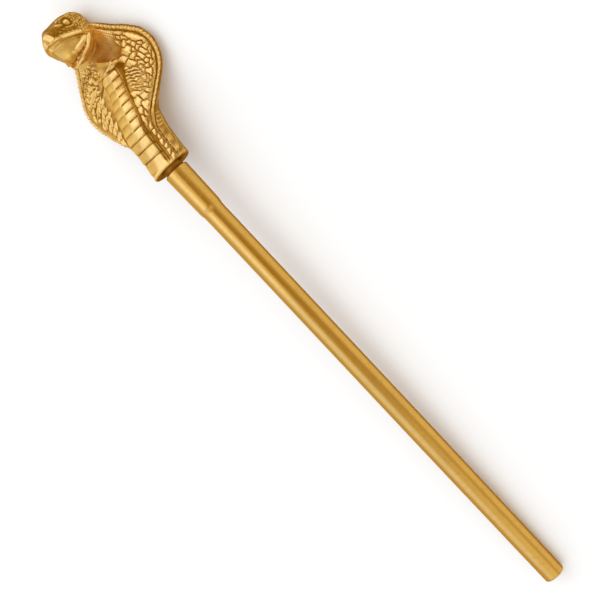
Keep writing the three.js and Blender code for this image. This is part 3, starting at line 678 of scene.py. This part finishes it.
def makeHead():
    parts = [loft("cobraCarved", bodyRings()), loft("skull", skullRings()),
             tube("jawRidge", carving["jawRidge"], carving["jawRidgeRadius"]),
             tube("throatFold", carving["throatFold"], carving["throatFoldRadius"])]
    for side in (1, -1):
        x, y, z = carving["eye"]
        parts.append(ball("eye", (x, y * side, z), (carving["eyeRadius"],) * 3))
        x, y, z = carving["brow"]
        parts.append(ball("brow", (x, y * side, z), carving["browSize"], carving["browTurn"] * side,
                          carving["browDip"]))
    onlySelect(*parts)
    bpy.ops.object.join()
    obj = parts[0]
    obj.name = "cobraCarved"
    applyModifier(obj, "REMESH", mode="VOXEL", voxel_size=carving["voxel"] * mm)
    print("remeshed", len(obj.data.polygons))
    mesh = obj.data
    count = len(mesh.vertices)
    co = np.empty(count * 3, np.float32)
    mesh.vertices.foreach_get("co", co)
    normal = np.empty(count * 3, np.float32)
    mesh.vertices.foreach_get("normal", normal)
    co, normal = co.reshape(-1, 3).astype(float), normal.reshape(-1, 3).astype(float)
    points = unplaced(co)
    height, paintedShadeAndHighlight = carve(points)
    co += normal * (height * mm)[:, None]
    mesh.vertices.foreach_set("co", np.clip(co, *np.array(cadBox)).astype(np.float32).ravel())
    mesh.update()
    applyModifier(obj, "DECIMATE", ratio=min(1, carving["triangles"] / (2 * len(mesh.polygons))))
    mesh = obj.data
    co = keepInBox(mesh)
    height, paintedShadeAndHighlight = carve(unplaced(co.astype(float)))
    edges = np.empty(len(mesh.edges) * 2, np.int32)
    mesh.edges.foreach_get("vertices", edges)
    one, two = edges.reshape(-1, 2).T
    neighbours = np.bincount(edges, minlength=len(co))
    mean = height.copy()  # raised places are the ones above their neighbourhood's mean
    for _ in range(carving["meanSteps"]):
        total = np.bincount(one, mean[two], len(co)) + np.bincount(two, mean[one], len(co))
        mean = mix(mean, total / np.maximum(neighbours, 1), 0.8)
    # the attribute holds the height over the neighbourhood's mean, lowered by painted shade and raised by
    # painted highlights
    attribute = mesh.attributes.new("relief", "FLOAT", "POINT")
    attribute.data.foreach_set("value", (height - mean - carving["paint"] * paintedShadeAndHighlight).astype(np.float32))
    onlySelect(obj)
    bpy.ops.object.shade_smooth()
    return obj


head = makeHead()
print("head carved", len(head.data.polygons))
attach(head, "root")
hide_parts("cobra_head")

# The shaft, drawn up from its tip: height over the collar's mouth and radius, and where the painted shade
# in the collar's mouth starts and lifts.
shaftShape = {"sides": 128, "tipDisc": 10.9, "tipRounding": 1.5, "roundingSteps": 7,
              "taper": [(60, 12.6), (140, 12.82)],  # over the tip
              "upper": [(-400, 13), (-300, 13), (-200, 13), (-110, 13), (-69, 13), (-66, 13.12),
                        (-63.5, 13.6), (-61, 14.05), (-58, 14.2), (-30, 14.62), (-6.4, 15), (-5.5, 14.3),
                        (-5.5, 12), (-4, 12), (-1, 12), (34, 12)],
              "smoothUnder": 28, "openMouth": [-6.3, -5.4], "inMouth": [-4.2, -1], "mouthShadeLift": 0.45}


def makeShaft():
    shape = shaftShape
    tip, rounding = -shaftLength, shape["tipRounding"]
    stations = [(tip + rounding * (1 - math.cos(a)), shape["tipDisc"] + rounding * math.sin(a))
                for a in np.linspace(0, np.pi / 2, shape["roundingSteps"])[1:]]
    stations += [(tip + rise, radius) for rise, radius in shape["taper"]] + shape["upper"]
    bpy.ops.object.select_all(action="DESELECT")
    bpy.ops.mesh.primitive_circle_add(vertices=shape["sides"], radius=shape["tipDisc"] * mm,
                                      fill_type="NGON", location=(0, 0, tip * mm))
    obj = bpy.context.object
    bpy.ops.object.transform_apply(location=True, rotation=True, scale=True)
    bpy.ops.object.mode_set(mode="EDIT")
    bpy.ops.mesh.select_all(action="SELECT")
    at, radius = tip, shape["tipDisc"]
    for z, r in stations:
        bpy.ops.mesh.extrude_region_move(TRANSFORM_OT_translate={"value": (0, 0, (z - at) * mm)})
        bpy.ops.transform.resize(value=(r / radius, r / radius, 1), center_override=(0, 0, z * mm))
        at, radius = z, r
    bpy.ops.mesh.select_all(action="SELECT")
    bpy.ops.mesh.normals_make_consistent(inside=False)
    bpy.ops.object.mode_set(mode="OBJECT")
    obj.matrix_world = toFrame
    bpy.ops.object.transform_apply(location=True, rotation=True, scale=True)
    bpy.ops.object.mode_set(mode="EDIT")
    bpy.ops.mesh.select_all(action="SELECT")
    bpy.ops.mesh.bisect(plane_co=(0, 0, 0), plane_no=(0, 0, 1), clear_inner=True, use_fill=True,
                        threshold=1e-6)
    bpy.ops.object.mode_set(mode="OBJECT")
    obj.name = "shaftTurned"
    height = unplaced(keepInBox(obj.data).astype(float))[:, 2]
    light = shape["mouthShadeLift"] * smooth(height, *shape["inMouth"])
    dark = smooth(height, *shape["openMouth"]) * (1 - light)  # painted shade on the spigot in the collar's mouth, lighter near the collar
    shade = obj.data.attributes.new("shade", "FLOAT", "POINT")
    shade.data.foreach_set("value", dark.astype(np.float32))
    bpy.ops.object.shade_smooth_by_angle(angle=math.radians(shape["smoothUnder"]))
    return obj


shaft = makeShaft()
print("shaft turned", len(shaft.data.polygons))
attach(shaft, "root")
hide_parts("shaft")


def mathNode(tree, operation, a, b=0.0, clamp=False):
    node = tree.nodes.new("ShaderNodeMath")
    node.operation = operation
    node.use_clamp = clamp
    for socket, value in zip(node.inputs, (a, b)):
        if isinstance(value, (int, float)):
            socket.default_value = value
        else:
            tree.links.new(value, socket)
    return node.outputs[0]


# Gold paint. The group gives colour, roughness and normal, and each material sets its own values on it.
goldPatterns = {  # scale and detail, and how much each one does
    "broad": (28, 3), "cloud": (220, 4), "flake": (1500, 2), "broadChange": 0.16, "broadLeast": 0.92,
    "cloudWear": 0.5, "cloudRough": 0.16, "wornRough": 0.35, "cloudBump": 1.5, "bumpDistance": 0.0004,
}


def goldGroup():
    group = bpy.data.node_groups.new("goldFinish", "ShaderNodeTree")
    sockets, pattern = group.interface, goldPatterns
    for name, kind, value in (("Light", "NodeSocketColor", (0.9, 0.6, 0.2, 1)),
                              ("Deep", "NodeSocketColor", (0.5, 0.22, 0.03, 1)),
                              ("PaintedShade", "NodeSocketFloat", 0.0), ("Rough", "NodeSocketFloat", 0.3),
                              ("Grain", "NodeSocketFloat", 0.1)):
        socket = sockets.new_socket(name, in_out="INPUT", socket_type=kind)
        socket.default_value = value
    for name, kind in (("Color", "NodeSocketColor"), ("Roughness", "NodeSocketFloat"),
                       ("Normal", "NodeSocketVector")):
        sockets.new_socket(name, in_out="OUTPUT", socket_type=kind)
    nodes, links = group.nodes, group.links
    inputs, outputs = nodes.new("NodeGroupInput"), nodes.new("NodeGroupOutput")
    place = nodes.new("ShaderNodeTexCoord")

    def noise(scale, detail):
        node = nodes.new("ShaderNodeTexNoise")
        node.inputs["Scale"].default_value = scale
        node.inputs["Detail"].default_value = detail
        links.new(place.outputs["Object"], node.inputs["Vector"])
        return node.outputs["Fac"]

    def groupMath(*given):
        return mathNode(group, *given)

    broad, cloud, flake = noise(*pattern["broad"]), noise(*pattern["cloud"]), noise(*pattern["flake"])
    aroundZero = groupMath("SUBTRACT", cloud, 0.5)
    wear = groupMath("MULTIPLY", aroundZero, pattern["cloudWear"])
    # the colour goes towards Deep with the painted shade and with random wear
    shadeAndWear = groupMath("ADD", inputs.outputs["PaintedShade"], wear, True)
    colour = nodes.new("ShaderNodeMix")
    colour.data_type = "RGBA"
    links.new(shadeAndWear, colour.inputs["Factor"])
    links.new(inputs.outputs["Light"], colour.inputs[6])
    links.new(inputs.outputs["Deep"], colour.inputs[7])
    shade = nodes.new("ShaderNodeHueSaturation")
    links.new(colour.outputs[2], shade.inputs["Color"])
    brightness = groupMath("MULTIPLY", broad, pattern["broadChange"])
    brightness = groupMath("ADD", brightness, pattern["broadLeast"])
    links.new(brightness, shade.inputs["Value"])
    links.new(shade.outputs["Color"], outputs.inputs["Color"])
    rough = groupMath("MULTIPLY", aroundZero, pattern["cloudRough"])
    rough = groupMath("ADD", inputs.outputs["Rough"], rough)
    rough = groupMath("ADD", rough, groupMath("MULTIPLY", shadeAndWear, pattern["wornRough"]))
    links.new(rough, outputs.inputs["Roughness"])
    bumpNode = nodes.new("ShaderNodeBump")
    bumpNode.inputs["Distance"].default_value = pattern["bumpDistance"]
    links.new(inputs.outputs["Grain"], bumpNode.inputs["Strength"])
    grain = groupMath("ADD", flake, groupMath("MULTIPLY", cloud, pattern["cloudBump"]))
    links.new(grain, bumpNode.inputs["Height"])
    links.new(bumpNode.outputs["Normal"], outputs.inputs["Normal"])
    return group


goldFinish = goldGroup()
golds = {
    "head": {"light": (0.97, 0.68, 0.26, 1), "rough": 0.25, "grain": 0.12},
    "shaft": {"light": (0.88, 0.58, 0.18, 1), "rough": 0.19, "grain": 0.07},
}
# the colour where painted shade and random wear are full
shadeAndWearGold = (0.37, 0.162, 0.006, 1)
edgeTint = (1, 0.82, 0.5, 1)


def goldMaterial(name, light, rough, grain):
    material = bpy.data.materials.new(name)
    material.use_nodes = True
    nodes, links = material.node_tree.nodes, material.node_tree.links
    shader = nodes["Principled BSDF"]
    shader.inputs["Metallic"].default_value = 1
    shader.inputs["Specular Tint"].default_value = edgeTint
    finish = nodes.new("ShaderNodeGroup")
    finish.node_tree = goldFinish
    finish.inputs["Light"].default_value = light
    finish.inputs["Deep"].default_value = shadeAndWearGold
    finish.inputs["Rough"].default_value = rough
    finish.inputs["Grain"].default_value = grain
    links.new(finish.outputs["Color"], shader.inputs["Base Color"])
    links.new(finish.outputs["Roughness"], shader.inputs["Roughness"])
    links.new(finish.outputs["Normal"], shader.inputs["Normal"])
    return material, finish


headGold, headFinish = goldMaterial("headGold", **golds["head"])
nodes, links = headGold.node_tree.nodes, headGold.node_tree.links
reliefNode = nodes.new("ShaderNodeAttribute")
reliefNode.attribute_name = "relief"
paintedShadeMap = nodes.new("ShaderNodeMapRange")  # painted shade: furrows and low places are darker
paintedShadeMap.inputs["From Min"].default_value = 0.1
paintedShadeMap.inputs["From Max"].default_value = -0.9
links.new(reliefNode.outputs["Fac"], paintedShadeMap.inputs["Value"])
links.new(paintedShadeMap.outputs["Result"], headFinish.inputs["PaintedShade"])
paintedHighlightMap = nodes.new("ShaderNodeMapRange")  # painted highlight: raised places and highlight strokes are paler and less metallic
for name, value in (("From Min", 0.6), ("From Max", 1.3), ("To Min", 1), ("To Max", 0.3)):
    paintedHighlightMap.inputs[name].default_value = value
links.new(reliefNode.outputs["Fac"], paintedHighlightMap.inputs["Value"])
links.new(paintedHighlightMap.outputs["Result"], nodes["Principled BSDF"].inputs["Metallic"])
shaftGold, shaftFinish = goldMaterial("shaftGold", **golds["shaft"])
nodes, links = shaftGold.node_tree.nodes, shaftGold.node_tree.links
# painted shade on the shaft in the collar's mouth
mouthShadeReader = nodes.new("ShaderNodeAttribute")
mouthShadeReader.attribute_name = "shade"
links.new(mouthShadeReader.outputs["Fac"], shaftFinish.inputs["PaintedShade"])
for piece, material in ((head, headGold), (shaft, shaftGold)):
    piece.data.materials.clear()
    piece.data.materials.append(material)
for node in frame["nodes"].values():
    node.data.materials.clear()
    node.data.materials.append(shaftGold)
print("painted")

# Camera, floor and light
camera = bpy.data.objects.new("camera", bpy.data.cameras.new("camera"))
bpy.context.scene.collection.objects.link(camera)
bpy.context.scene.camera = camera
view = {"turn": 41, "imageTurn": 43.19, "distance": 1.148, "lens": 62.04, "sensor": 36,
        "along": -204.4, "across": 2.0}
turn, imageTurn = math.radians(view["turn"]), math.radians(view["imageTurn"])
outward = belly * math.cos(turn) + left * math.sin(turn)
across = left * math.cos(turn) - belly * math.sin(turn)
imageRight = across * math.cos(imageTurn) - along * math.sin(imageTurn)
imageUp = across * math.sin(imageTurn) + along * math.cos(imageTurn)
target = mouthCentre + along * view["along"] * mm + across * view["across"] * mm
pose = Matrix((imageRight, imageUp, outward)).transposed().to_4x4()
pose.translation = target + outward * view["distance"]
camera.matrix_world = pose
camera.data.lens = view["lens"]
camera.data.sensor_width = view["sensor"]

ground = {"size": 30, "colour": (0.92, 0.92, 0.92, 1), "rough": 0.9}
bpy.ops.object.select_all(action="DESELECT")
bpy.ops.mesh.primitive_plane_add(size=ground["size"], location=(0, 0, 0))
floor = bpy.context.object
floor.name = "floor"
floor.visible_glossy = False
paper = bpy.data.materials.new("floorPaper")
paper.use_nodes = True
matt = paper.node_tree.nodes["Principled BSDF"]
matt.inputs["Base Color"].default_value = ground["colour"]
matt.inputs["Roughness"].default_value = ground["rough"]
floor.data.materials.append(paper)


def softbox(name, aside, down, distance, size, power):  # angles from the camera's line, in degrees
    a, d = math.radians(aside), math.radians(down)
    toward = (outward * math.cos(a) + across * math.sin(a)) * math.cos(d) - along * math.sin(d)
    light = bpy.data.lights.new(name, "AREA")
    light.shape = "RECTANGLE"
    light.size, light.size_y = size
    light.energy = power
    obj = bpy.data.objects.new(name, light)
    bpy.context.scene.collection.objects.link(obj)
    back = toward.normalized()
    up = (along - back * along.dot(back)).normalized()
    rot = Matrix((up.cross(back), up, back)).transposed().to_4x4()
    rot.translation = target + toward * distance
    obj.matrix_world = rot


softbox("keySoft", aside=-38, down=-20, distance=2.4, size=(2.7, 1.7), power=5)

# The studio round the sceptre: white for the floor, and soft panels on warm dark walls in the gold's
# reflections.
world = bpy.data.worlds.new("studio")
bpy.context.scene.world = world
world.use_nodes = True
nodes, links = world.node_tree.nodes, world.node_tree.links
panels = {  # sideways and headward angle of the middle, half angles, colour
    "left": (-62, -6, 34, 28, (0.46, 0.6, 0.86)),
    "leftHigh": (-105, 48, 38, 28, (0.42, 0.5, 0.48)),
    "farHigh": (-155, 28, 28, 26, (0.22, 0.25, 0.36)),
    "right": (80, -10, 42, 44, (0.42, 0.45, 0.42)),
    "rightHigh": (84, 54, 36, 30, (0.22, 0.25, 0.2)),
    "under": (-128, 0, 34, 80, (0.22, 0.24, 0.2)),
    "tip": (0, -23, 30, 16, (0.4, 0.44, 0.4)),
    "tipLeft": (-50, -42, 30, 20, (0.24, 0.26, 0.26)),
    "foldGlow": (12, -46, 26, 14, (0.5, 0.56, 0.56)),
    "neckGlow": (-42, 38, 26, 18, (0.47, 0.6, 0.86)),
    "scuteGlow": (-56, 64, 34, 20, (0.74, 0.9, 1.2)),
    "noseGlow": (4, 43, 24, 23, (0.8, 0.95, 1.2)),
    "cellGlow": (42, 31, 26, 17, (0.5, 0.6, 0.66)),
    "overHead": (10, 84, 60, 14, (0.15, 0.17, 0.15)),
    "footSoft": (-30, -66, 50, 20, (0.36, 0.36, 0.3)),
}
wallColour = (0.36, 0.215, 0.015)
panelEdge = 3.5  # a higher power makes the panels' edges harder
skyStrength = 1.08


def worldMath(*given):
    return mathNode(world.node_tree, *given)


def worldVector(operation, a, b):
    node = nodes.new("ShaderNodeVectorMath")
    node.operation = operation
    for socket, value in zip(node.inputs, (a, b)):
        if isinstance(value, bpy.types.NodeSocket):
            links.new(value, socket)
        else:
            socket.default_value = value
    return node.outputs["Value" if operation == "DOT_PRODUCT" else "Vector"]


direction = nodes.new("ShaderNodeTexCoord").outputs["Generated"]
sideways = worldMath("ARCTAN2", worldVector("DOT_PRODUCT", direction, across),
                     worldVector("DOT_PRODUCT", direction, outward))
headward = worldMath("ARCSINE", worldVector("DOT_PRODUCT", direction, along))
glow = nodes.new("ShaderNodeRGB").outputs[0]
glow.default_value = (*wallColour, 1)
for aside, up, halfAside, halfUp, colour in panels.values():
    beside = worldMath("SUBTRACT", sideways, math.radians(aside))
    beside = worldMath("ABSOLUTE", worldMath("DIVIDE", beside, math.radians(halfAside)))
    above = worldMath("SUBTRACT", headward, math.radians(up))
    above = worldMath("ABSOLUTE", worldMath("DIVIDE", above, math.radians(halfUp)))
    away = worldMath("ADD", worldMath("POWER", beside, panelEdge), worldMath("POWER", above, panelEdge))
    strength = worldMath("EXPONENT", worldMath("MULTIPLY", away, -1.0))
    tint = nodes.new("ShaderNodeVectorMath")
    tint.operation = "SCALE"
    tint.inputs[0].default_value = colour
    links.new(strength, tint.inputs["Scale"])
    glow = worldVector("ADD", glow, tint.outputs["Vector"])
room = nodes.new("ShaderNodeBackground")
links.new(glow, room.inputs["Color"])
sky = nodes["Background"]
sky.inputs["Color"].default_value = (1, 1, 1, 1)
sky.inputs["Strength"].default_value = skyStrength
rays = nodes.new("ShaderNodeLightPath")
blendSky = nodes.new("ShaderNodeMixShader")
links.new(rays.outputs["Is Glossy Ray"], blendSky.inputs["Fac"])
links.new(sky.outputs["Background"], blendSky.inputs[1])
links.new(room.outputs["Background"], blendSky.inputs[2])
links.new(blendSky.outputs["Shader"], nodes["World Output"].inputs["Surface"])
bpy.context.scene.view_settings.view_transform = "Standard"
print("lit")
